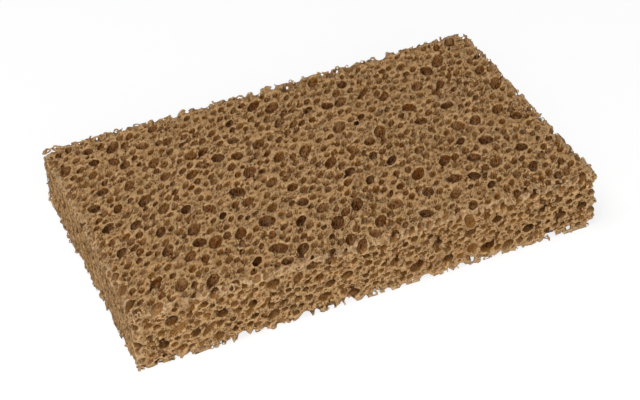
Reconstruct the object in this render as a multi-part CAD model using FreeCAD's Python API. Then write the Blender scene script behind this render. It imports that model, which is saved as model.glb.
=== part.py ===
"""Grout sponge: one slab cut from a block of open-cell foam.

Millimetres, +Z up. The origin is at the middle of the flat underside, +X runs along the length and +Y
along the width. The knife has left the edges round the two large faces crisp and the four upright
corners a little round. The coarsest cells of the foam are cut into all six faces: each is a round or
oval hollow, opened somewhere between its floor and its crown, so that some are shallow bowls and others
are wider inside than at the mouth.
"""

import FreeCAD, Part
import math
import os
import random
from collections import namedtuple

from FreeCAD import Vector

# Slab
LENGTH = 180.0
WIDTH = 108.0
THICKNESS = 24.5
CORNER_ROUND = 1.8  # of the four upright corners

# Cells strewn over the base, the back and the two ends
MOUTH_MIN = 3.6  # across the mouth of the smallest
MOUTH_MAX = 5.2
ROUND_SHARE = 0.5  # of them have a round mouth
STRETCH_MIN = 1.2  # length of the roundest oval mouth, in widths
STRETCH_MAX = 1.6  # of the longest
CELL_WALL = 1.0  # least foam between two cells
FACE_PER_CELL = 3800.0  # square millimetres of face for each cell
SINK_MIN = -0.5  # how far the middle of a cell lies under its face, in half widths
SINK_MAX = 0.3
PLAIN_BASE = 12.0  # radius in the middle of the base that is left whole, to rest and measure on
TRIES_PER_CELL = 100
SEED = 7

Face = namedtuple("Face", "middle along up out length height")
Cell = namedtuple("Cell", "x y width length turn sink")

# The largest cells of the upper face: x and y of the middle of the mouth from the middle of the face,
# the width and length of the mouth, the turn of its length from +X in degrees, and the sink.
TOP_CELLS = (
    Cell(-67, 34, 4.0, 5.6, 90, 0.3),
    Cell(-54, 39, 5.4, 5.4, 0, -0.3),
    Cell(-45, -9, 5.2, 5.2, 0, 0.0),
    Cell(-40, 24, 5.4, 6.6, 80, -0.4),
    Cell(-32, -4, 5.8, 5.8, 0, 0.4),
    Cell(-31, -41, 5.8, 7.0, 150, 0.2),
    Cell(3, -49, 4.8, 4.8, 0, 0.0),
    Cell(16, 0, 4.6, 7.2, 100, -0.4),
    Cell(16, -37, 5.2, 6.6, 30, -0.1),
    Cell(24, -47, 5.2, 5.2, 0, 0.4),
    Cell(47, 15, 5.6, 5.6, 0, 0.0),
    Cell(49, -35, 4.6, 4.6, 0, 0.6),
    Cell(58, -4, 5.6, 7.0, 100, -0.4),
    Cell(64, 35, 4.6, 7.0, 80, 0.4),
)
# The largest of the front face, with y up from its middle. The last bites into the lower edge.
FRONT_CELLS = (
    Cell(-74, 1, 3.4, 7.4, 25, -0.2),
    Cell(38, 8, 3.8, 7.4, 110, 0.1),
    Cell(39, -5, 4.4, 4.4, 0, 0.0),
    Cell(-37, -11, 4.4, 4.4, 0, -0.2),
)


def slab():
    block = Part.makeBox(LENGTH, WIDTH, THICKNESS, Vector(-LENGTH / 2, -WIDTH / 2, 0))
    upright = [edge for edge in block.Edges if edge.BoundBox.ZLength > THICKNESS / 2]
    return block.makeFillet(CORNER_ROUND, upright)


def faces():
    """The six cut faces: each one's middle, its own axes, the way it faces, and its size."""
    x, y, z = Vector(1, 0, 0), Vector(0, 1, 0), Vector(0, 0, 1)
    middle = z * (THICKNESS / 2)
    return {
        "top": Face(z * THICKNESS, x, y, z, LENGTH, WIDTH),
        "base": Face(Vector(), x, -y, -z, LENGTH, WIDTH),
        "front": Face(middle - y * (WIDTH / 2), x, z, -y, LENGTH, THICKNESS),
        "back": Face(middle + y * (WIDTH / 2), -x, z, y, LENGTH, THICKNESS),
        "left": Face(middle - x * (LENGTH / 2), -y, z, -x, WIDTH, THICKNESS),
        "right": Face(middle + x * (LENGTH / 2), y, z, x, WIDTH, THICKNESS),
    }


def half_sizes(cell):
    """Half the width and half the length of the whole cell, from those of the mouth that is cut."""
    half_width = cell.width / 2 / math.sqrt(1 - cell.sink**2)
    return half_width, half_width + (cell.length - cell.width) / 2


def cell_middle(face, cell):
    depth = cell.sink * half_sizes(cell)[0]
    return face.middle + face.along * cell.x + face.up * cell.y - face.out * depth


def hollow(face, cell):
    """The whole cell: a ball, or for an oval mouth a bore along it with a ball at each end."""
    half_width, half_length = half_sizes(cell)
    if half_length == half_width:
        return Part.makeSphere(half_width, cell_middle(face, cell))
    turn = math.radians(cell.turn)
    reach = (face.along * math.cos(turn) + face.up * math.sin(turn)) * (half_length - half_width)
    first, last = cell_middle(face, cell) - reach, cell_middle(face, cell) + reach
    bore = Part.makeCylinder(half_width, 2 * reach.Length, first, reach)
    return bore.multiFuse([Part.makeSphere(half_width, end) for end in (first, last)])


def clear(face, cell, placed):
    """True if a cell leaves a wall of foam to every placed one and stays off the plain base."""
    middle, reach = cell_middle(face, cell), half_sizes(cell)[1]
    if face.out.z < 0 and math.hypot(cell.x, cell.y) < PLAIN_BASE + reach:
        return False
    return all(
        middle.distanceToPoint(cell_middle(other_face, other))
        > reach + half_sizes(other)[1] + CELL_WALL
        for other_face, other in placed
    )


def scatter(face, placed, draw):
    """Adds a face's share of cells to placed, each at the first drawn spot that is clear."""
    for _ in range(round(face.length * face.height / FACE_PER_CELL)):
        for _ in range(TRIES_PER_CELL):
            width = draw.uniform(MOUTH_MIN, MOUTH_MAX)
            stretch = 1 if draw.random() < ROUND_SHARE else draw.uniform(STRETCH_MIN, STRETCH_MAX)
            cell = Cell(
                draw.uniform(-0.5, 0.5) * face.length,
                draw.uniform(-0.5, 0.5) * face.height,
                width,
                width * stretch,
                draw.uniform(0, 180),
                draw.uniform(SINK_MIN, SINK_MAX),
            )
            if clear(face, cell, placed):
                placed.append((face, cell))
                break


def sponge():
    side, draw = faces(), random.Random(SEED)
    placed = [(side["top"], cell) for cell in TOP_CELLS]
    placed += [(side["front"], cell) for cell in FRONT_CELLS]
    for name in ("base", "back", "left", "right"):
        scatter(side[name], placed, draw)
    body = slab()
    for face, cell in placed:
        body = body.cut(hollow(face, cell))
    return body


os.makedirs("parts", exist_ok=True)
sponge().exportStep("parts/sponge.step")
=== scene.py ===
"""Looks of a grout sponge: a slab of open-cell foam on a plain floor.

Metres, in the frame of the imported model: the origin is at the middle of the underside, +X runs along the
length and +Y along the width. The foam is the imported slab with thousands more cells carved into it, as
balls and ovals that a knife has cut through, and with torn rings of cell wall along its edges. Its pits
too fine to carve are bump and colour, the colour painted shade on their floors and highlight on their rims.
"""

import math
from collections import namedtuple

import bmesh
import bpy
import numpy as np
from bpy.props import FloatProperty, FloatVectorProperty, IntProperty, PointerProperty
from mathutils import Matrix, Vector


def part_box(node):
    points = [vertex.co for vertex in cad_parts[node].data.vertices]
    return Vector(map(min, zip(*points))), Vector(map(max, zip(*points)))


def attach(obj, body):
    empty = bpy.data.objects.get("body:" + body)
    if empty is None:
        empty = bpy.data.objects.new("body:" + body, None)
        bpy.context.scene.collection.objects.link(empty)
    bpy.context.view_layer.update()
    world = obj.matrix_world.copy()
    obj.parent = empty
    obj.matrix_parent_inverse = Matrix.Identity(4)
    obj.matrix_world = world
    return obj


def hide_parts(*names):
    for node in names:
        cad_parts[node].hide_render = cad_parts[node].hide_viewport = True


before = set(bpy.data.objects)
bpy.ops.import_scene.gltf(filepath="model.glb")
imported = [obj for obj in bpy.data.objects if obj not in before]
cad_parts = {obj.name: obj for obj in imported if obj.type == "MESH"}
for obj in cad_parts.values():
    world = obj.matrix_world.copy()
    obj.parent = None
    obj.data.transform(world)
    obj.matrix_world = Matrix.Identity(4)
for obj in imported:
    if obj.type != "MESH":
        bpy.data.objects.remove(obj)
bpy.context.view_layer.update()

bl_info = {
    "name": "Grout sponge",
    "version": (1, 0, 0),
    "blender": (4, 5, 0),
    "location": "View3D > Sidebar > Sponge",
    "description": "Makes the open-cell foam of a grout sponge, its finish and a studio",
    "category": "Object",
}

MM = 0.001
SLAB_NODE = "sponge"
SLAB_LOW, SLAB_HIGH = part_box(SLAB_NODE)
SLAB_MIDDLE = (SLAB_LOW + SLAB_HIGH) / 2
SLAB_HALF = (SLAB_HIGH - SLAB_LOW) / 2

# One layer of cells: its name in the settings, how far a middle may lie under or over the cut face in radii,
# the ball's subdivisions, and whether it is carved into the base too.
Layer = namedtuple("Layer", "name under over rings on_base")
LAYERS = (
    Layer("Large", 0.8, 0.1, 4, True),
    Layer("Medium", 0.7, 0.1, 3, True),
    Layer("Small", 0.6, 0.2, 3, False),
    Layer("Fine", 0.5, 0.3, 2, False),
)
# Coarse cells of the upper face that are placed one by one, as in the slab's own source: x and y of the mouth
# from the middle of the face, its width and length, the turn of its length from +X in degrees, and how far
# the cell's middle lies under the face in half widths. Millimetres.
Coarse = namedtuple("Coarse", "x y width length turn sink")
TOP_CELLS = (
    Coarse(-83, 10, 4.6, 5.2, 45, 0.2),
    Coarse(-77, 18, 3.8, 5.4, 45, 0.4),
    Coarse(-74, 37, 3.8, 4.4, 50, 0.5),
    Coarse(-74, 45, 4.2, 4.8, 30, 0.3),
    Coarse(-55, -26, 4.4, 5.4, 50, 0.4),
    Coarse(-31, 18, 4.8, 5.8, 50, 0.3),
    Coarse(-24, 16, 4.6, 5.4, 55, 0.2),
    Coarse(-22, 26, 4.2, 4.8, 50, 0.1),
    Coarse(-29, -25, 6.0, 7.5, 50, 0.1),
    Coarse(-13, -11, 4.0, 5.4, 55, 0.2),
    Coarse(-13, -21, 4.3, 5.0, 50, 0.3),
    Coarse(-7, 44, 3.6, 8.6, 50, 0.2),
    Coarse(-31, -49, 4.3, 5.0, 30, 0.2),
    Coarse(19, 31, 4.6, 5.8, 50, 0.3),
    Coarse(24, 2, 4.2, 5.8, 50, 0.1),
    Coarse(30, 42, 3.7, 5.6, 50, 0.4),
    Coarse(35, 33, 2.7, 10.0, 45, 0.2),
    Coarse(30, -36, 4.3, 5.6, 50, 0.3),
    Coarse(42, -33, 5.0, 6.3, 30, 0.1),
    Coarse(47, 5, 4.6, 5.2, 50, 0.3),
    Coarse(54, -25, 5.0, 5.6, 50, 0.2),
    Coarse(60, 10, 4.6, 6.0, 30, 0.3),
    Coarse(63, -17, 5.0, 6.6, 50, 0.4),
    Coarse(73, -27, 4.6, 5.2, 50, 0.3),
    Coarse(81, -8, 4.4, 5.8, 50, 0.4),
)
FRONT_CELLS = (
    Coarse(-63, -3, 2.8, 7.4, 45, 0.2),
    Coarse(-39, -6, 4.0, 4.8, 40, 0.3),
    Coarse(-29, 7, 3.6, 5.0, 60, 0.2),
)
COARSE_DEPTH = 1.5  # half height of a coarse cell in half widths
RISE_WAY = Vector((0.56, 0.73, 0.12)).normalized()  # the way the foam rose, along which its cells are long


# ---------------------------------------------------------------- settings
def length(name, description, millimetres):
    """A size that the user may change."""
    return FloatProperty(
        name=name, description=description, default=millimetres * MM, unit="LENGTH", precision=5
    )


def part_of_one(name, description, default):
    """A share from 0 to 1 that the user may change."""
    return FloatProperty(
        name=name, description=description, default=default, min=0.0, max=1.0, subtype="FACTOR"
    )


def tint(name, description, red, green, blue):
    """A colour that the user may change."""
    return FloatVectorProperty(
        name=name,
        description=description,
        default=(red, green, blue, 1.0),
        size=4,
        min=0.0,
        max=1.0,
        subtype="COLOR",
    )


class SPONGE_PG_foam(bpy.types.PropertyGroup):
    """Sizes of the foam. Each but the last two is also an input of the foam's node tree"""

    voxel: length("Voxel", "Grain at which the cells are carved", 0.25)
    rise: FloatProperty(
        name="Rise", description="Length of a cell the way the foam rose, in widths", default=1.9, min=1.0
    )
    thin_wall: length("Thinnest wall", "Least foam left between two cells; below zero they open", 0.03)
    thick_wall: length("Thickest wall", "Most foam asked for between two cells", 0.35)
    large_spacing: length("Large spacing", "Least distance between two large cells", 7.5)
    large_smallest: length("Large smallest", "Radius of the smallest large cell", 1.8)
    large_largest: length("Large largest", "Radius of the largest large cell", 2.4)
    medium_spacing: length("Medium spacing", "Least distance between two medium cells", 2.45)
    medium_smallest: length("Medium smallest", "Radius of the smallest medium cell", 1.0)
    medium_largest: length("Medium largest", "Radius of the largest medium cell", 1.85)
    small_spacing: length("Small spacing", "Least distance between two small cells", 1.4)
    small_smallest: length("Small smallest", "Radius of the smallest small cell", 0.55)
    small_largest: length("Small largest", "Radius of the largest small cell", 1.0)
    fine_spacing: length("Fine spacing", "Least distance between two fine cells", 1.15)
    fine_smallest: length("Fine smallest", "Radius of the smallest fine cell", 0.4)
    fine_largest: length("Fine largest", "Radius of the largest fine cell", 0.6)
    edge_spacing: length("Edge spacing", "Distance between cells set in from the edges", 2.9)
    edge_smallest: length("Edge smallest", "Radius of the smallest edge cell", 0.9)
    edge_largest: length("Edge largest", "Radius of the largest edge cell", 2.1)
    edge_share: part_of_one("Edge share", "How many of the edge cells are kept", 0.3)
    nick_spacing: length("Nick spacing", "Distance between the nicks along the edges", 1.5)
    nick_smallest: length("Nick smallest", "Radius of the smallest nick", 0.35)
    nick_largest: length("Nick largest", "Radius of the largest nick", 0.95)
    nick_share: part_of_one("Nick share", "How many of the nicks are kept", 0.5)
    fringe_spacing: length("Fringe spacing", "Distance between the torn rings along the edges", 2.0)
    fringe_smallest: length("Fringe smallest", "Radius of the smallest torn ring", 0.4)
    fringe_largest: length("Fringe largest", "Radius of the largest torn ring", 1.1)
    fringe_share: part_of_one("Fringe share", "How many of the torn rings are kept", 0.6)
    window_spacing: length("Window spacing", "Least distance between two openings in a cell's wall", 5.0)
    window_smallest: length("Window smallest", "Radius of the smallest opening", 0.45)
    window_largest: length("Window largest", "Radius of the largest opening", 0.95)
    worn_round: length("Worn round", "Radius to which the upper edges are worn", 2.0)
    triangles: IntProperty(
        name="Triangles", description="Triangles of the whole foam", default=196000, min=1000
    )
    base_triangles: IntProperty(
        name="Base triangles", description="How many of them the base gets", default=14000, min=100
    )


class SPONGE_PG_colours(bpy.types.PropertyGroup):
    """Colours of the foam, among them painted shade and painted light"""

    cut_dark: tint("Cut face, dark", "Darker patches of the cut faces", 0.37, 0.195, 0.073)
    cut_pale: tint("Cut face, pale", "Paler patches of the cut faces", 0.45, 0.25, 0.102)
    # a painted highlight on the rims of the cells, which stand proud of the foam round them
    rim: tint("Rims", "Rims of the cells", 0.6, 0.38, 0.19)
    # a painted highlight on the rims of the finest pits
    pit_rim_highlight: tint("Pit rims", "Rims of the finest pits", 0.6, 0.38, 0.185)
    # painted shade on the floors of the pits too fine to carve, and of the finest ones
    pit: tint("Pits", "Floors of the pits that are too fine to carve", 0.13, 0.04, 0.003)
    fine_pit_shade: tint("Fine pits", "Floors of the finest pits", 0.08, 0.018, 0.0005)
    grain: tint("Grain", "Specks of the cut faces", 0.14, 0.045, 0.003)
    edge: tint("Edges", "Worn edges, where light comes through the walls", 0.6, 0.42, 0.245)
    # painted shade in the small hollows, which lie under the foam round them
    hollow_shade: tint("Hollows", "Small hollows", 0.14, 0.045, 0.004)
    # painted shade in the cells, darker the deeper they go
    mouth: tint("Cell mouths", "Walls of the cells near their mouths", 0.2, 0.086, 0.014)
    lit_wall: tint("Lit walls", "Walls of the cells near the sides, which are lit more", 0.36, 0.17, 0.04)
    wall: tint("Cell walls", "Walls of the cells a millimetre down", 0.11, 0.034, 0.002)
    floor: tint("Cell floors", "Floors of the common cells", 0.1, 0.026, 0.0015)
    deep: tint("Deepest floors", "Floors of the deepest cells", 0.06, 0.011, 0.0003)


class SPONGE_PG_stage(bpy.types.PropertyGroup):
    """Lamps and floor"""

    key_power: FloatProperty(
        name="Key lamp", description="Power of the lamp overhead", default=6.6, min=0.0, unit="POWER"
    )
    fill_power: FloatProperty(
        name="Fill lamp", description="Power of the wide lamp in front", default=17.5, min=0.0, unit="POWER"
    )
    room_level: part_of_one("Room", "Level of the light from all round", 0.025)
    floor_tint: tint("Floor", "Colour of the floor as it lights the sponge", 0.8, 0.8, 0.8)


# ---------------------------------------------------------------- node trees
def add(tree, kind, settings=None, sockets=None):
    """Adds a node with its settings. Sockets are given by name, or by number where two share a name."""
    node = tree.nodes.new(kind)
    for name, value in (settings or {}).items():
        setattr(node, name, value)
    shown = [socket for socket in node.inputs if socket.enabled]
    for key, value in (sockets or {}).items():
        socket = shown[key] if isinstance(key, int) else next(s for s in shown if s.name == key)
        if isinstance(value, bpy.types.NodeSocket):
            tree.links.new(value, socket)
        else:
            socket.default_value = value
    return node


def out(node, name=None):
    """A node's output by name, or its first one."""
    return next(s for s in node.outputs if s.enabled and name in (None, s.name))


def sums(tree, operation, *values):
    """The result of a Math node."""
    return out(add(tree, "ShaderNodeMath", {"operation": operation}, dict(enumerate(values))))


def vectors(tree, operation, *values):
    """The result of a Vector Math node."""
    return out(add(tree, "ShaderNodeVectorMath", {"operation": operation}, dict(enumerate(values))))


def split(tree, vector):
    """The X, Y and Z of a vector."""
    return add(tree, "ShaderNodeSeparateXYZ", {}, {0: vector}).outputs


def packed(tree, x, y, z):
    """A vector of three numbers."""
    return out(add(tree, "ShaderNodeCombineXYZ", {}, {0: x, 1: y, 2: z}))


def stepped(tree, value, low, high, to_low=0.0, to_high=1.0):
    """A value brought from one range to another, and held at its ends."""
    sockets = {"Value": value, "From Min": low, "From Max": high, "To Min": to_low, "To Max": to_high}
    return out(add(tree, "ShaderNodeMapRange", {}, sockets))


def clouds(tree, place, scale, detail=1.0):
    """Soft noise, as a number and as a vector that runs both ways from 0."""
    noise = add(tree, "ShaderNodeTexNoise", {}, {"Vector": place, "Scale": scale, "Detail": detail})
    return out(noise, "Fac"), vectors(tree, "SUBTRACT", out(noise, "Color"), (0.5, 0.5, 0.5))


def gaps(tree, place):
    """How far a place lies inside the slab's faces, along X, Y and Z, in metres."""
    offset = vectors(tree, "ABSOLUTE", vectors(tree, "SUBTRACT", place, tuple(SLAB_MIDDLE)))
    return vectors(tree, "SUBTRACT", tuple(SLAB_HALF), offset)


def side_gap(tree, place):
    """How far a place lies inside the nearest of the slab's four sides."""
    gap = split(tree, gaps(tree, place))
    return sums(tree, "MINIMUM", gap["X"], gap["Y"])


def depth_below_faces(tree, place):
    """How deep a place lies under the nearest cut face."""
    gap = split(tree, gaps(tree, place))
    return sums(tree, "MINIMUM", sums(tree, "MINIMUM", gap["X"], gap["Y"]), gap["Z"])


def edge_gap(tree, place):
    """How far a place lies from the nearest edge, by the second nearest of the cut faces."""
    gap = split(tree, gaps(tree, place))
    least = sums(tree, "MINIMUM", gap["X"], gap["Y"])
    most = sums(tree, "MAXIMUM", gap["X"], gap["Y"])
    return sums(tree, "MINIMUM", most, sums(tree, "MAXIMUM", least, gap["Z"]))


def here(tree):
    """The place of each point."""
    return out(add(tree, "GeometryNodeInputPosition"))


def facing(tree):
    """The normal of each point."""
    return out(add(tree, "GeometryNodeInputNormal"), "Normal")


def moved(tree, geometry, offset):
    """Geometry with its points moved."""
    return out(add(tree, "GeometryNodeSetPosition", {}, {"Geometry": geometry, "Offset": offset}))


def placed(tree, geometry, place):
    """Geometry with its points set in new places."""
    return out(add(tree, "GeometryNodeSetPosition", {}, {"Geometry": geometry, "Position": place}))


def drawn_out(tree, place, factor):
    """A place moved as a stretch about the origin does, the way the foam rose."""
    way = tuple(RISE_WAY)
    along = vectors(tree, "DOT_PRODUCT", place, way)
    more = sums(tree, "MULTIPLY", along, sums(tree, "SUBTRACT", factor, 1.0))
    return vectors(tree, "ADD", place, vectors(tree, "SCALE", way, more))


def stretched(tree, geometry, factor):
    """Geometry stretched about the origin, the way the foam rose."""
    return placed(tree, geometry, drawn_out(tree, here(tree), factor))


def dropped(tree, geometry, chosen):
    """Geometry without its chosen points."""
    sockets = {"Geometry": geometry, "Selection": chosen}
    return out(add(tree, "GeometryNodeDeleteGeometry", {"domain": "POINT"}, sockets))


def joined(tree, *parts):
    """Several pieces of geometry as one."""
    join = add(tree, "GeometryNodeJoinGeometry")
    for part in parts:
        tree.links.new(part, join.inputs[0])
    return out(join)


def softened(tree, place, rounds):
    """The places of the points averaged with those round them."""
    sockets = {"Value": place, "Iterations": rounds}
    return out(add(tree, "GeometryNodeBlurAttribute", {"data_type": "FLOAT_VECTOR"}, sockets))


def read(tree, name, data_type):
    """A value stored at each point."""
    node = add(tree, "GeometryNodeInputNamedAttribute", {"data_type": data_type}, {"Name": name})
    return out(node, "Attribute")


def stored(tree, geometry, name, value, data_type="FLOAT"):
    """Stores a value at each point. Returns the geometry and the value as read back later."""
    settings = {"data_type": data_type, "domain": "POINT"}
    sockets = {"Geometry": geometry, "Name": name, "Value": value}
    kept = add(tree, "GeometryNodeStoreNamedAttribute", settings, sockets)
    return out(kept), read(tree, name, data_type)


def random_float(tree, low, high, seed):
    """A random number for each point."""
    sockets = {"Min": low, "Max": high, "Seed": seed}
    return out(add(tree, "FunctionNodeRandomValue", {"data_type": "FLOAT"}, sockets))


def random_vector(tree, low, high, seed):
    """A random vector for each point."""
    sockets = {"Min": low, "Max": high, "Seed": seed}
    return out(add(tree, "FunctionNodeRandomValue", {"data_type": "FLOAT_VECTOR"}, sockets))


# ---------------------------------------------------------------- cells
TRIES = 5.0  # points tried in a square of the spacing
EDGE_JITTER = 1.5 * MM  # how far the points of an edge are shifted along it
RING_STRAND = 0.36  # half thickness of a torn ring, in its radii
CELL_INSIDE = 0.7 * MM  # depth under which the slab's own faces are those of its cells
WINDOW_DEPTH = 0.5 * MM  # depth under which a cell's wall may have openings


def strewn(tree, mesh, chosen, spacing, seed):
    """Random points on a mesh, no two nearer than the spacing, and the normals there."""
    spread = add(
        tree,
        "GeometryNodeDistributePointsOnFaces",
        {"distribute_method": "POISSON"},
        {
            "Mesh": mesh,
            "Selection": chosen,
            "Distance Min": spacing,
            "Density Max": sums(tree, "DIVIDE", TRIES, sums(tree, "MULTIPLY", spacing, spacing)),
            "Seed": seed,
        },
    )
    return out(spread, "Points"), spread.outputs["Normal"]


def on_points(tree, points, shape, turn, size):
    """A shape on each point, turned and sized, as one mesh."""
    sockets = {"Points": points, "Instance": shape, "Rotation": turn, "Scale": size}
    shapes = add(tree, "GeometryNodeInstanceOnPoints", {}, sockets)
    return out(add(tree, "GeometryNodeRealizeInstances", {}, {"Geometry": out(shapes)}))


def balls_on(tree, points, rings, turn, size):
    """A ball on each point, turned and sized, as one mesh."""
    ball = add(tree, "GeometryNodeMeshIcoSphere", {}, {"Radius": 1.0, "Subdivisions": rings})
    return on_points(tree, points, out(ball), turn, size)


def room(tree, taken, inputs, seed):
    """How large a cell may grow at each point: up to a wall from its neighbour and from the taken ones."""
    near = add(tree, "GeometryNodeIndexOfNearest").outputs["Index"]
    settings = {"data_type": "FLOAT_VECTOR"}
    other = add(tree, "GeometryNodeFieldAtIndex", settings, {"Value": here(tree), "Index": near})
    half_way = sums(tree, "MULTIPLY", vectors(tree, "DISTANCE", here(tree), out(other)), 0.5)
    proximity = add(tree, "GeometryNodeProximity", {"target_element": "FACES"}, {0: taken})
    wall = random_float(tree, inputs["Thinnest wall"], inputs["Thickest wall"], seed)
    to_neighbour = sums(tree, "SUBTRACT", half_way, sums(tree, "MULTIPLY", wall, 0.5))
    to_taken = sums(tree, "SUBTRACT", out(proximity, "Distance"), wall)
    return sums(tree, "MINIMUM", to_neighbour, to_taken)


def cell_layer(tree, layer, slab, taken, inputs, seed):
    """Cells of one layer, strewn over the cut faces clear of the taken ones, as one mesh."""
    up = split(tree, facing(tree))["Z"]
    chosen = sums(tree, "GREATER_THAN", up, -2.0 if layer.on_base else -0.5)
    smallest = inputs[f"{layer.name} smallest"]
    points, normal = strewn(tree, slab, chosen, inputs[f"{layer.name} spacing"], seed)
    wished = random_float(tree, smallest, inputs[f"{layer.name} largest"], seed + 1)
    radius = sums(tree, "MINIMUM", wished, room(tree, taken, inputs, seed + 5))
    points, radius = stored(tree, points, "cell_radius", radius)
    points = dropped(tree, points, sums(tree, "LESS_THAN", radius, smallest))
    sink = sums(tree, "MULTIPLY", radius, random_float(tree, -layer.under, layer.over, seed + 2))
    points = moved(tree, points, vectors(tree, "SCALE", normal, sink))
    stretch = random_vector(tree, (0.9, 0.85, 0.9), (1.1, 1.2, 1.1), seed + 3)
    turn = random_vector(tree, (-0.4, -0.4, -0.5), (0.4, 0.4, 0.5), seed + 4)
    return balls_on(tree, points, layer.rings, turn, vectors(tree, "SCALE", stretch, radius))


def coarse_marks():
    """The listed cells as points that carry their turns and half sizes, for the tree to put balls on."""
    places, turns, sizes = [], [], []
    for cells, on_top in ((TOP_CELLS, True), (FRONT_CELLS, False)):
        for cell in cells:
            half_width = cell.width / 2 / math.sqrt(1 - cell.sink**2)
            half_length = half_width + (cell.length - cell.width) / 2
            sink = cell.sink * half_width * MM
            turn = math.radians(cell.turn)
            across = cell.x * MM
            up = cell.y * MM
            if on_top:
                places.append((across, up, SLAB_HIGH.z - sink))
                turns.append((0, 0, turn))
            else:
                places.append((across, SLAB_LOW.y + sink, SLAB_MIDDLE.z + up))
                turns.append((math.pi / 2, -turn, 0))
            sizes.append((half_length * MM, half_width * MM, COARSE_DEPTH * half_width * MM))
    mesh = bpy.data.meshes.new("coarse_marks")
    mesh.from_pydata(places, [], [])
    for name, values in (("turn", turns), ("size", sizes)):
        kept = mesh.attributes.new(name, "FLOAT_VECTOR", "POINT")
        kept.data.foreach_set("vector", [number for value in values for number in value])
    marks = bpy.data.objects.new("coarse_marks", mesh)
    bpy.context.collection.objects.link(marks)
    return marks


def edge_points(tree, inputs, kind, deepest, shallowest, seed):
    """Points along the slab's edges, each with a radius, set in from the edge by a share of it."""
    box = out(add(tree, "GeometryNodeMeshCube", {}, {"Size": tuple(2 * SLAB_HALF)}))
    lines = out(add(tree, "GeometryNodeMeshToCurve", {}, {0: box}))
    sockets = {0: lines, "Length": inputs[f"{kind} spacing"]}
    points = out(add(tree, "GeometryNodeCurveToPoints", {"mode": "LENGTH"}, sockets))
    radius = random_float(tree, inputs[f"{kind} smallest"], inputs[f"{kind} largest"], seed)
    points, radius = stored(tree, points, "cell_radius", radius)
    place = here(tree)
    # 1 along the two ways in which a point lies on the edge, and 0 along the edge itself
    almost_half = tuple(0.9999 * SLAB_HALF)
    beyond = vectors(tree, "SUBTRACT", vectors(tree, "ABSOLUTE", place), almost_half)
    limit = vectors(tree, "SIGN", vectors(tree, "MAXIMUM", beyond, (0, 0, 0)))
    inward = vectors(tree, "MULTIPLY", vectors(tree, "SIGN", place), limit)
    share = random_vector(tree, (-deepest,) * 3, (-shallowest,) * 3, seed + 1)
    inward = vectors(tree, "SCALE", vectors(tree, "MULTIPLY", inward, share), radius)
    along = vectors(tree, "SUBTRACT", (1, 1, 1), limit)
    jitter = random_vector(tree, (-EDGE_JITTER,) * 3, (EDGE_JITTER,) * 3, seed + 2)
    offset = vectors(tree, "ADD", inward, vectors(tree, "MULTIPLY", along, jitter))
    points = moved(tree, points, vectors(tree, "ADD", offset, tuple(SLAB_MIDDLE)))
    luck = random_float(tree, 0.0, 1.0, seed + 3)
    return dropped(tree, points, sums(tree, "GREATER_THAN", luck, inputs[f"{kind} share"])), radius


def edge_cells(tree, inputs, kind, deepest, shallowest, seed):
    """Cells along the slab's edges: set in they leave an arch of foam on the edge, and set out a nick."""
    points, radius = edge_points(tree, inputs, kind, deepest, shallowest, seed)
    points = stretched(tree, points, sums(tree, "DIVIDE", 1.0, inputs["Rise"]))
    stretch = random_vector(tree, (0.9, 0.9, 0.9), (1.15, 1.15, 1.1), seed + 4)
    turn = random_vector(tree, (-0.4, -0.4, -0.5), (0.4, 0.4, 0.5), seed + 5)
    return balls_on(tree, points, 3, turn, vectors(tree, "SCALE", stretch, radius))


def fringe(tree, inputs, seed):
    """Torn rings of cell wall that stand a little out of the slab's edges."""
    points, radius = edge_points(tree, inputs, "Fringe", 1.0, 0.35, seed)
    circle, strand = (
        out(add(tree, "GeometryNodeCurvePrimitiveCircle", {"mode": "RADIUS"}, sockets))
        for sockets in ({"Resolution": 12, "Radius": 1.0}, {"Resolution": 6, "Radius": RING_STRAND})
    )
    ring = add(tree, "GeometryNodeCurveToMesh", {}, {"Curve": circle, "Profile Curve": strand})
    turn = random_vector(tree, (0.0, 0.0, 0.0), (6.3, 6.3, 6.3), seed + 4)
    size = vectors(tree, "SCALE", random_vector(tree, (0.8, 0.8, 0.8), (1.3, 1.3, 1.3), seed + 5), radius)
    return on_points(tree, points, out(ring), turn, size)


def windows(tree, cells, inputs, seed):
    """Small cells behind the walls of the large ones, which open into them."""
    inner = sums(tree, "GREATER_THAN", depth_below_faces(tree, here(tree)), WINDOW_DEPTH)
    points, normal = strewn(tree, cells, inner, inputs["Window spacing"], seed)
    radius = random_float(tree, inputs["Window smallest"], inputs["Window largest"], seed + 1)
    points, radius = stored(tree, points, "cell_radius", radius)
    lift = sums(tree, "MULTIPLY", radius, random_float(tree, 0.2, 0.75, seed + 2))
    points = moved(tree, points, vectors(tree, "SCALE", normal, lift))
    return balls_on(tree, points, 2, (0, 0, 0), packed(tree, radius, radius, radius))


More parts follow.
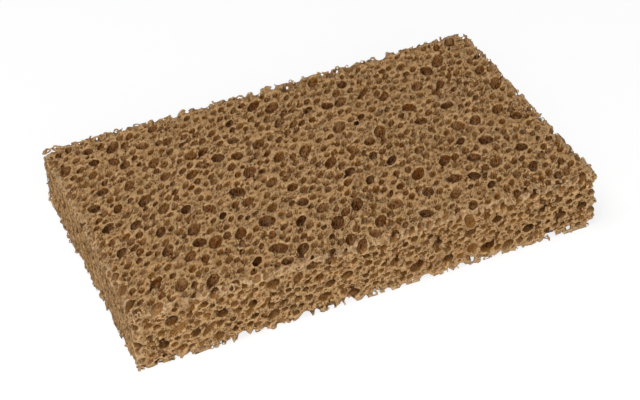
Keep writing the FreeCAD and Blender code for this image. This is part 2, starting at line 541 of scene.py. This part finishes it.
def every_cell(tree, slab, marks, inputs):
    """All the cells as one mesh.

    They are placed as balls in a slab squeezed the way the foam rose, and stretched back with it.
    """
    inner = sums(tree, "GREATER_THAN", depth_below_faces(tree, here(tree)), CELL_INSIDE)
    sockets = {"Geometry": slab, "Selection": inner}
    bowls = add(tree, "GeometryNodeSeparateGeometry", {"domain": "FACE"}, sockets)
    turn = read(tree, "turn", "FLOAT_VECTOR")
    coarse = balls_on(tree, marks, 4, turn, read(tree, "size", "FLOAT_VECTOR"))
    squeeze = sums(tree, "DIVIDE", 1.0, inputs["Rise"])
    squeezed = stretched(tree, slab, squeeze)
    arches = edge_cells(tree, inputs, "Edge", 0.98, 0.55, 91)
    nicks = edge_cells(tree, inputs, "Nick", 0.4, -0.5, 101)
    taken = joined(tree, stretched(tree, joined(tree, out(bowls), coarse), squeeze), arches)
    layers = []
    for count, layer in enumerate(LAYERS):
        layers.append(cell_layer(tree, layer, squeezed, taken, inputs, 10 * count + 1))
        taken = joined(tree, taken, layers[-1])
    wide = joined(tree, stretched(tree, joined(tree, *layers[:2]), inputs["Rise"]), coarse)
    risen = stretched(tree, joined(tree, arches, nicks, *layers), inputs["Rise"])
    return joined(tree, risen, coarse, windows(tree, wide, inputs, 71))


# ---------------------------------------------------------------- foam
HAIR = 0.001 * MM  # next to nothing
FAR = 1.0  # well beyond the slab
# How the foam departs from a slab with clean cells. Each noise has a size and a grain, its scale.
SHAKE, SHAKE_GRAIN = 0.8 * MM, 260.0  # of the walls between cells
TORN, TORN_GRAIN = 1.3 * MM, 190.0  # of the edges
TORN_REACH = 2.5 * MM  # how far in from an edge it is torn
TORN_SWELL = 0.12  # share of the tearing that always stands outward
WAVE, WAVE_GRAIN = 1.6 * MM, 32.0  # of the faces
RIM_ROUNDS = 6  # how wide round a point the foam is averaged, to tell rims from hollows


def wear(tree, inputs):
    """How far each place of the cut slab moves: rounder upper edges, ragged near them, faces that wave."""
    place = here(tree)
    from_middle = vectors(tree, "SUBTRACT", place, tuple(SLAB_MIDDLE))
    outward = vectors(tree, "SIGN", from_middle)
    reach = packed(tree, *(inputs["Worn round"],) * 3)
    square = vectors(tree, "MAXIMUM", vectors(tree, "SUBTRACT", reach, gaps(tree, place)), (0, 0, 0))
    parts = split(tree, square)
    longest = sums(tree, "MAXIMUM", sums(tree, "MAXIMUM", parts["X"], parts["Y"]), parts["Z"])
    across = vectors(tree, "LENGTH", square)
    ratio = sums(tree, "DIVIDE", longest, sums(tree, "MAXIMUM", across, HAIR))
    worn = vectors(tree, "SCALE", square, sums(tree, "SUBTRACT", 1.0, ratio))
    torn = stepped(tree, edge_gap(tree, place), 0.0, TORN_REACH, TORN, 0.0)
    sway = vectors(tree, "SCALE", clouds(tree, place, TORN_GRAIN)[1], torn)
    swell = vectors(tree, "SCALE", outward, sums(tree, "MULTIPLY", torn, TORN_SWELL))
    slow = vectors(tree, "SCALE", clouds(tree, place, WAVE_GRAIN)[1], WAVE)
    grip = stepped(tree, split(tree, place)["Z"], SLAB_LOW.z, SLAB_MIDDLE.z)  # the base stays flat
    waves = vectors(tree, "ADD", vectors(tree, "ADD", sway, swell), slow)
    worn = vectors(tree, "SCALE", vectors(tree, "MULTIPLY", outward, worn), grip)
    return vectors(tree, "MULTIPLY", vectors(tree, "SUBTRACT", waves, worn), packed(tree, 1.0, 1.0, grip))


def largest_body(tree, mesh):
    """The largest body of a mesh, without the crumbs that no longer hang on it."""
    island = out(add(tree, "GeometryNodeInputMeshIsland"), "Island Index")
    settings = {"data_type": "INT", "domain": "POINT"}
    sockets = {"Value": 1, "Group ID": island}
    size = out(add(tree, "GeometryNodeAccumulateField", settings, sockets), "Total")
    settings = {"data_type": "FLOAT", "domain": "POINT"}
    sockets = {"Geometry": mesh, "Attribute": size}
    most = out(add(tree, "GeometryNodeAttributeStatistic", settings, sockets), "Max")
    return dropped(tree, mesh, sums(tree, "LESS_THAN", size, most))


def setting_names():
    """The foam's settings that are inputs of its tree, as (property, name on the socket)."""
    shown = SPONGE_PG_foam.bl_rna.properties
    return [(p.identifier, p.name) for p in shown if p.type == "FLOAT"]


def foam_tree(material):
    """Carves the cells out of the slab, adds the torn rings, keeps the largest body, and wears it.

    Each point of the result keeps how deep it lay under the cut faces before the wear and how far it stands
    proud of the foam round it, both in millimetres, and its normal.
    """
    tree = bpy.data.node_groups.new("Foam", "GeometryNodeTree")
    tree.interface.new_socket(name="Slab", in_out="INPUT", socket_type="NodeSocketGeometry")
    tree.interface.new_socket(name="Coarse marks", in_out="INPUT", socket_type="NodeSocketObject")
    tree.interface.new_socket(name="Foam", in_out="OUTPUT", socket_type="NodeSocketGeometry")
    for _, name in setting_names():
        tree.interface.new_socket(name=name, in_out="INPUT", socket_type="NodeSocketFloat")
    inputs = add(tree, "NodeGroupInput").outputs
    sockets = {"Geometry": inputs["Slab"], "Distance": HAIR}
    slab = out(add(tree, "GeometryNodeMergeByDistance", {}, sockets))
    marks = out(add(tree, "GeometryNodeObjectInfo", {}, {"Object": inputs["Coarse marks"]}), "Geometry")
    cells = every_cell(tree, slab, marks, inputs)
    shake = vectors(tree, "SCALE", clouds(tree, here(tree), SHAKE_GRAIN)[1], SHAKE)
    solids = (slab, moved(tree, cells, shake), moved(tree, fringe(tree, inputs, 111), shake))
    slab, cells, rings = (
        out(add(tree, "GeometryNodeMeshToSDFGrid", {}, {"Mesh": mesh, "Voxel Size": inputs["Voxel"]}))
        for mesh in solids
    )
    carved = out(add(tree, "GeometryNodeSDFGridBoolean", {"operation": "DIFFERENCE"}, {0: slab, 1: cells}))
    fringed = add(tree, "GeometryNodeSDFGridBoolean", {"operation": "UNION"}, {0: carved})
    tree.links.new(rings, next(socket for socket in fringed.inputs if socket.enabled))
    mesh = out(add(tree, "GeometryNodeGridToMesh", {}, {"Grid": out(fringed), "Threshold": 0.0}))
    body = largest_body(tree, mesh)
    body = placed(tree, body, softened(tree, here(tree), 1))
    body, _ = stored(tree, body, "depth", sums(tree, "DIVIDE", depth_below_faces(tree, here(tree)), MM))
    body = moved(tree, body, wear(tree, inputs))
    above_floor = vectors(tree, "MAXIMUM", here(tree), (-FAR, -FAR, SLAB_LOW.z))
    body = placed(tree, body, above_floor)
    body = out(add(tree, "GeometryNodeSetShadeSmooth", {}, {"Geometry": body}))
    off_mean = vectors(tree, "SUBTRACT", here(tree), softened(tree, here(tree), RIM_ROUNDS))
    proud = vectors(tree, "DOT_PRODUCT", facing(tree), off_mean)
    body, _ = stored(tree, body, "rim", sums(tree, "DIVIDE", proud, MM))
    body, _ = stored(tree, body, "soft_normal", facing(tree), "FLOAT_VECTOR")
    # in millimetres from here on, since the thinning that follows is too coarse for a mesh as fine in metres
    grown = add(tree, "GeometryNodeTransform", {}, {"Geometry": body, "Scale": (1 / MM,) * 3})
    real = out(add(tree, "GeometryNodeRealizeInstances", {}, {"Geometry": out(grown)}))
    finished = add(tree, "GeometryNodeSetMaterial", {}, {"Geometry": real, "Material": material})
    tree.links.new(out(finished), add(tree, "NodeGroupOutput").inputs["Foam"])
    return tree


def plain_mesh(thing, name):
    """The evaluated mesh of an object, as a new object of its own with no modifier."""
    graph = bpy.context.evaluated_depsgraph_get()
    mesh = bpy.data.meshes.new_from_object(thing.evaluated_get(graph))
    mesh.name = name
    made = bpy.data.objects.new(name, mesh)
    bpy.context.collection.objects.link(made)
    bpy.data.objects.remove(thing)
    return made


def numbers(items, name, width, kind=np.float32):
    """One value of each item of a mesh, as an array with a row for each."""
    values = np.empty(len(items) * width, kind)
    items.foreach_get(name, values)
    return values.reshape(-1, width) if width > 1 else values


BASE_HEIGHT = 4.5 * MM  # how far up the foam counts as its base when it is thinned
BASE_INSET = 1.0 * MM  # and how far in from the sides, at least
LEAST_FACING = 0.35  # how much of a face's own normal the soft ones on it must hold
CHART_GAP = 4 * MM  # between the charts of the map
CHART_DRAW = 0.45  # how far a cell's walls are drawn in on the map, for each unit of depth


def thin_out(thing, settings):
    """Thins a mesh, in millimetres, to the triangles allowed: first its base, seldom seen, then the rest."""
    places = numbers(thing.data.vertices, "co", 3) * MM
    in_from_sides = (np.array(SLAB_HALF) - np.abs(places - np.array(SLAB_MIDDLE)))[:, :2].min(axis=1)
    height = places[:, 2] - SLAB_LOW.z
    below = np.flatnonzero((height < BASE_HEIGHT) & (in_from_sides > np.maximum(height, BASE_INSET)))
    thing.vertex_groups.new(name="base").add(below.tolist(), 1.0, "REPLACE")
    count = int((numbers(thing.data.polygons, "loop_total", 1, np.int32) - 2).sum())
    left = count * (1 - len(below) / len(places)) + settings.base_triangles
    for name, ratio, group in (("Thin base", left / count, "base"), ("Thin", settings.triangles / left, "")):
        thin = thing.modifiers.new(name, "DECIMATE")
        thin.ratio = ratio
        thin.vertex_group = group


def drop_fins(mesh):
    """Drops the few faces that thinning leaves lying over their neighbours, joined on by two edges only."""
    body = bmesh.new()
    body.from_mesh(mesh)
    fins = dict.fromkeys(edge.link_faces[0] for edge in body.edges if edge.is_boundary)
    bmesh.ops.delete(body, geom=list(fins), context="FACES")
    body.to_mesh(mesh)
    body.free()


def at_corners(mesh, values):
    """Values of the points or of the faces of a mesh, as values of its face corners."""
    if len(values) == len(mesh.vertices):
        return values[numbers(mesh.loops, "vertex_index", 1, np.int32)]
    return np.repeat(values, numbers(mesh.polygons, "loop_total", 1, np.int32), axis=0)


def unit(rows):
    """Vectors, one a row, brought to length 1."""
    return rows / np.maximum(np.linalg.norm(rows, axis=1), 1e-6)[:, None]


def soften(mesh):
    """Shades a thinned mesh with the normals it had before, save where they turn too far from a face."""
    soft = unit(at_corners(mesh, numbers(mesh.attributes["soft_normal"].data, "vector", 3)))
    faces = at_corners(mesh, numbers(mesh.polygons, "normal", 3))
    lacking = np.maximum(LEAST_FACING - (soft * faces).sum(axis=1), 0)
    mesh.normals_split_custom_set(unit(soft + faces * lacking[:, None]).tolist())


def lay_out(mesh):
    """Gives the foam a map: each face lies on the chart of the cut face it is nearest to.

    The walls of a cell are drawn in towards its middle as they go down, so that none lies edge on.
    """
    place = at_corners(mesh, numbers(mesh.vertices, "co", 3))
    normal = unit(at_corners(mesh, numbers(mesh.attributes["soft_normal"].data, "vector", 3)))
    middles = numbers(mesh.polygons, "center", 3)
    low, high = np.array(SLAB_LOW), np.array(SLAB_HIGH)
    chart = at_corners(mesh, np.hstack((middles - low, high - middles)).argmin(axis=1))
    long, wide, tall = high - low
    gap = CHART_GAP
    side = 2 * (wide + tall) + 5 * gap
    # the lower left corner of each chart: of the faces that look down X, Y and Z, then of those that look up
    lows = ((long + 2 * gap, gap), (gap, 2 * wide + 3 * gap), (gap, wide + 2 * gap))
    highs = ((long + 2 * gap, wide + 2 * gap), (gap, 2 * wide + tall + 4 * gap), (gap, gap))
    spots = np.zeros((len(place), 2))
    for number, corner in enumerate(lows + highs):
        on_chart = chart == number
        axis = number % 3
        depth = place[:, axis] - low[axis] if number < 3 else high[axis] - place[:, axis]
        draw = CHART_DRAW * np.maximum(depth, 0)
        for spot, way in enumerate(((2, 1), (0, 2), (0, 1))[axis]):
            value = place[:, way] - low[way] + normal[:, way] * draw + corner[spot]
            spots[on_chart, spot] = value[on_chart]
    layer = mesh.uv_layers.new(name="OFBake")
    layer.data.foreach_set("uv", (spots / side).astype(np.float32).ravel())


class SPONGE_OT_foam(bpy.types.Operator):
    """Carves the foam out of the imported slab"""

    bl_idname = "sponge.foam"
    bl_label = "Foam"

    def execute(self, context):
        settings = context.scene.sponge_foam
        slab = bpy.data.objects.new("slab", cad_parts[SLAB_NODE].data.copy())
        context.collection.objects.link(slab)
        marks = coarse_marks()
        carve = slab.modifiers.new("Foam", "NODES")
        carve.node_group = foam_tree(foam_material(context.scene.sponge_colours))
        sockets = carve.node_group.interface.items_tree
        carve[sockets["Coarse marks"].identifier] = marks
        for key, name in setting_names():
            carve[sockets[name].identifier] = getattr(settings, key)
        raw = plain_mesh(slab, "raw_foam")
        bpy.data.objects.remove(marks)
        thin_out(raw, settings)
        foam = plain_mesh(raw, "foam")
        drop_fins(foam.data)
        foam.data.transform(Matrix.Scale(MM, 4))
        lay_out(foam.data)
        soften(foam.data)
        foam.data.attributes.remove(foam.data.attributes["soft_normal"])
        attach(foam, "root")
        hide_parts(SLAB_NODE)
        return {"FINISHED"}


# ---------------------------------------------------------------- finish
def mixed(tree, share, first, second):
    """A colour between two, by a share from 0 to 1."""
    sockets = {"Factor": share, "A": first, "B": second}
    return out(add(tree, "ShaderNodeMix", {"data_type": "RGBA"}, sockets))


def ramped(tree, value, stops):
    """A colour read off a ramp, given as (place from 0 to 1, colour) stops."""
    node = add(tree, "ShaderNodeValToRGB", {}, {"Fac": value})
    elements = node.color_ramp.elements
    elements[0].position, elements[0].color = stops[0]
    elements[1].position, elements[1].color = stops[-1]
    for place, colour in stops[1:-1]:
        elements.new(place).color = colour
    return out(node)


# One grade of the pits that are too fine to carve: the scale of the texture, the radii from the smallest pit
# to the largest and the width of the rim in cells of the texture, how far the floor fades in from the rim,
# how dark the painted shade on the darkest floor is, and how deep it lies in millimetres.
Pit = namedtuple("Pit", "scale smallest largest rim fade darkness depth")
PITS = (
    Pit(400.0, 0.1, 0.8, 0.12, 0.25, 1.0, 0.8),
    Pit(800.0, 0.15, 0.85, 0.2, 0.12, 1.0, 0.5),
    Pit(1500.0, -0.05, 0.75, 0.2, 0.1, 1.0, 0.2),
)


def pits(tree, place, pit):
    """Round pits of mixed sizes: their painted shade, their rims' painted highlight, and how low they lie."""
    sockets = {"Vector": place, "Scale": pit.scale}
    cells = add(tree, "ShaderNodeTexVoronoi", {}, sockets)
    borders = add(tree, "ShaderNodeTexVoronoi", {"feature": "DISTANCE_TO_EDGE"}, sockets)
    chance = add(tree, "ShaderNodeSeparateColor", {}, {0: out(cells, "Color")}).outputs
    radius = stepped(tree, chance[0], 0.0, 1.0, pit.smallest, pit.largest)
    to_border = sums(tree, "SUBTRACT", out(borders, "Distance"), 0.5 * pit.rim)
    inside = sums(tree, "MINIMUM", sums(tree, "SUBTRACT", radius, out(cells, "Distance")), to_border)
    floor = stepped(tree, inside, 0.0, pit.fade)
    rim = stepped(tree, inside, -pit.rim, -0.2 * pit.rim)
    rim = sums(tree, "SUBTRACT", rim, stepped(tree, inside, -0.2 * pit.rim, 0.1))
    darkness = stepped(tree, chance[1], 0.0, 1.0, 0.4 * pit.darkness, pit.darkness)
    return sums(tree, "MULTIPLY", floor, darkness), rim, sums(tree, "MULTIPLY", floor, pit.depth)


DARKEST_DEPTH = 3.0  # millimetres under the cut faces at which the painted shade in a cell is darkest


def foam_material(colours):
    """Dry foam: pale cut faces, painted highlight on rims, painted shade in cells and in pits too fine to
    carve.
    """
    made = bpy.data.materials.new("foam")
    made.use_nodes = True
    tree = made.node_tree
    shader = tree.nodes["Principled BSDF"]
    place = out(add(tree, "ShaderNodeTexCoord"), "Object")
    depth = out(add(tree, "ShaderNodeAttribute", {"attribute_name": "depth"}), "Fac")
    cut = mixed(tree, clouds(tree, place, 60.0, 2.0)[0], colours.cut_dark, colours.cut_pale)
    # painted shade: inside the cells the colour darkens with the depth in millimetres, and near the sides,
    # painted as more lit, it stays paler
    stops = ((0.0, colours.mouth), (0.3, colours.wall), (0.6, colours.floor), (1.0, colours.deep))
    inside = ramped(tree, sums(tree, "DIVIDE", depth, DARKEST_DEPTH), stops)
    shade = stepped(tree, side_gap(tree, place), 0.0, 4.0 * MM, 0.25, 1.0)
    inside = mixed(tree, shade, colours.lit_wall, inside)
    colour = mixed(tree, stepped(tree, depth, 0.1, 0.5), cut, inside)
    # painted shade darkens the hollows, which lie under the foam round them, and a painted highlight makes
    # the rims paler, which stand proud of it
    proud = out(add(tree, "ShaderNodeAttribute", {"attribute_name": "rim"}), "Fac")
    colour = mixed(tree, stepped(tree, proud, -0.03, -0.12, 0.0, 0.6), colour, colours.hollow_shade)
    colour = mixed(tree, stepped(tree, proud, 0.02, 0.08, 0.0, 0.85), colour, colours.rim)
    # the pits are fewest inside the cells and in some patches of the cut faces
    bend = vectors(tree, "SCALE", clouds(tree, place, 500.0)[1], 0.8 * MM)
    bent = vectors(tree, "ADD", drawn_out(tree, place, 0.5), bend)
    near = stepped(tree, depth, 0.1, 0.8, 1.0, 0.35)
    patch = stepped(tree, clouds(tree, place, 140.0)[0], 0.35, 0.6, 0.6, 1.0)
    near = sums(tree, "MULTIPLY", near, patch)
    rim_highlight_share = sums(tree, "MULTIPLY", near, 0.6)
    drop = 0.0
    # painted shade on the floors of the pits and a painted highlight on their rims
    for pit, dark in zip(PITS, (colours.pit, colours.fine_pit_shade, colours.fine_pit_shade)):
        floor, rim, fall = pits(tree, bent, pit)
        colour = mixed(tree, sums(tree, "MULTIPLY", floor, near), colour, dark)
        colour = mixed(tree, sums(tree, "MULTIPLY", rim, rim_highlight_share), colour, colours.pit_rim_highlight)
        drop = sums(tree, "MAXIMUM", drop, fall)
    grain = clouds(tree, place, 1800.0, 2.0)[0]
    speck = sums(tree, "MULTIPLY", stepped(tree, grain, 0.5, 0.65, 0.0, 0.15), near)
    colour = mixed(tree, speck, colour, colours.grain)
    # painted light: the colour is paler towards the worn edges, as if lit through their thin walls
    worn = stepped(tree, edge_gap(tree, place), 0.0, 3.0 * MM, 0.5, 0.0)
    colour = mixed(tree, worn, colour, colours.edge)
    tree.links.new(colour, shader.inputs["Base Color"])
    height = sums(tree, "SUBTRACT", sums(tree, "MULTIPLY", grain, 0.15), sums(tree, "MULTIPLY", drop, near))
    bump = add(tree, "ShaderNodeBump", {}, {"Height": height, "Distance": 1.0 * MM, "Strength": 1.0})
    tree.links.new(out(bump), shader.inputs["Normal"])
    shader.inputs["Roughness"].default_value = 0.8
    shader.inputs["Specular IOR Level"].default_value = 0.0
    shader.inputs["Subsurface Weight"].default_value = 0.2
    shader.inputs["Subsurface Radius"].default_value = (1.0, 0.45, 0.18)
    shader.inputs["Subsurface Scale"].default_value = 0.6 * MM
    return made


# ---------------------------------------------------------------- stage
# The shot: where the camera stands, its turn from +Y towards +X, how far it looks down and its tilt, in
# degrees.
SHOT_PLACE = Vector((-0.199985, -0.519620, 0.436911))
SHOT_TURN = 21.21
SHOT_FALL = 37.745
SHOT_TILT = -3.49
SHOT_LENS = 104.45
FLOOR_SIZE = 6.0
FLOOR_SEEN = 0.25  # grey of the floor as it is seen: what the lamps light, and so its shadow
FLOOR_GLOW = 0.8  # the rest of its white, as it is seen


def seen_directly(tree):
    """1 for rays that show the background: from the camera, from a glossy face or through glass."""
    rays = add(tree, "ShaderNodeLightPath").outputs
    shown = sums(tree, "MAXIMUM", rays["Is Camera Ray"], rays["Is Glossy Ray"])
    return sums(tree, "MAXIMUM", shown, rays["Is Transmission Ray"])


def lamp(name, size, watts, place):
    """A square lamp that faces the sponge."""
    data = bpy.data.lights.new(name, "AREA")
    data.shape = "SQUARE"
    data.size = size
    data.energy = watts
    thing = bpy.data.objects.new(name, data)
    thing.location = place
    thing.rotation_euler = (-Vector(place)).to_track_quat("-Z", "Y").to_euler()
    bpy.context.collection.objects.link(thing)


def pale_floor(settings):
    """A wide floor that looks white and keeps the shadow of the sponge."""
    bpy.ops.mesh.primitive_plane_add(size=FLOOR_SIZE, location=(0, 0, SLAB_LOW.z))
    floor = bpy.context.object
    floor.name = "floor"
    white = bpy.data.materials.new("floor")
    white.use_nodes = True
    tree = white.node_tree
    shader = tree.nodes["Principled BSDF"]
    shader.inputs["Roughness"].default_value = 0.9
    shader.inputs["Specular IOR Level"].default_value = 0.0
    seen = seen_directly(tree)
    grey = mixed(tree, seen, settings.floor_tint, (FLOOR_SEEN, FLOOR_SEEN, FLOOR_SEEN, 1))
    tree.links.new(grey, shader.inputs["Base Color"])
    shader.inputs["Emission Color"].default_value = (1, 1, 1, 1)
    tree.links.new(sums(tree, "MULTIPLY", seen, FLOOR_GLOW), shader.inputs["Emission Strength"])
    floor.data.materials.append(white)


def pale_room(settings):
    """Even light from all round, which looks white."""
    room_world = bpy.data.worlds.new("studio")
    room_world.use_nodes = True
    tree = room_world.node_tree
    level = stepped(tree, seen_directly(tree), 0.0, 1.0, settings.room_level, 1.0)
    tree.links.new(level, tree.nodes["Background"].inputs["Strength"])
    tree.nodes["Background"].inputs["Color"].default_value = (1, 1, 1, 1)
    return room_world


def camera():
    """The camera of the shot."""
    data = bpy.data.cameras.new("camera")
    data.lens = SHOT_LENS
    data.sensor_width = 36.0
    data.clip_start = 0.01
    thing = bpy.data.objects.new("camera", data)
    bpy.context.collection.objects.link(thing)
    turn, fall, tilt = (math.radians(angle) for angle in (SHOT_TURN, SHOT_FALL, SHOT_TILT))
    ahead = Vector((math.sin(turn) * math.cos(fall), math.cos(turn) * math.cos(fall), -math.sin(fall)))
    right = Vector((math.cos(turn), -math.sin(turn), 0))
    up = right.cross(ahead)
    tilted_right = right * math.cos(tilt) + up * math.sin(tilt)
    tilted_up = up * math.cos(tilt) - right * math.sin(tilt)
    basis = Matrix((tilted_right, tilted_up, -ahead)).transposed().to_4x4()
    thing.matrix_world = Matrix.Translation(SHOT_PLACE) @ basis
    return thing


class SPONGE_OT_stage(bpy.types.Operator):
    """Makes the floor, the lamps and the camera"""

    bl_idname = "sponge.stage"
    bl_label = "Stage"

    def execute(self, context):
        settings = context.scene.sponge_stage
        context.scene.view_settings.view_transform = "Standard"
        pale_floor(settings)
        context.scene.world = pale_room(settings)
        lamp("key", 0.6, settings.key_power, (-0.3, -0.1, 1.0))
        lamp("fill", 1.6, settings.fill_power, (-0.35, -1.05, 0.4))
        context.scene.camera = camera()
        return {"FINISHED"}


class SPONGE_PT_sponge(bpy.types.Panel):
    """Lists what makes the sponge, with its sizes and colours"""

    bl_idname = "SPONGE_PT_sponge"
    bl_label = "Grout sponge"
    bl_space_type = "VIEW_3D"
    bl_region_type = "UI"
    bl_category = "Sponge"

    def draw(self, context):
        scene = context.scene
        for operator, groups in (
            (SPONGE_OT_foam, (scene.sponge_foam, scene.sponge_colours)),
            (SPONGE_OT_stage, (scene.sponge_stage,)),
        ):
            box = self.layout.box()
            box.operator(operator.bl_idname)
            for group in groups:
                for key in type(group).__annotations__:
                    box.prop(group, key)


GROUPS = {"sponge_foam": SPONGE_PG_foam, "sponge_colours": SPONGE_PG_colours, "sponge_stage": SPONGE_PG_stage}
CLASSES = (*GROUPS.values(), SPONGE_OT_foam, SPONGE_OT_stage, SPONGE_PT_sponge)


def register():
    """Makes the classes known, and gives each scene its settings."""
    for item in CLASSES:
        bpy.utils.register_class(item)
    for name, group in GROUPS.items():
        setattr(bpy.types.Scene, name, PointerProperty(type=group))


def unregister():
    """Takes the settings and the classes away again."""
    for name in GROUPS:
        delattr(bpy.types.Scene, name)
    for item in reversed(CLASSES):
        bpy.utils.unregister_class(item)


def main():
    """Makes the sponge and its studio."""
    register()
    bpy.ops.sponge.foam()
    bpy.ops.sponge.stage()


if __name__ == "__main__":
    main()
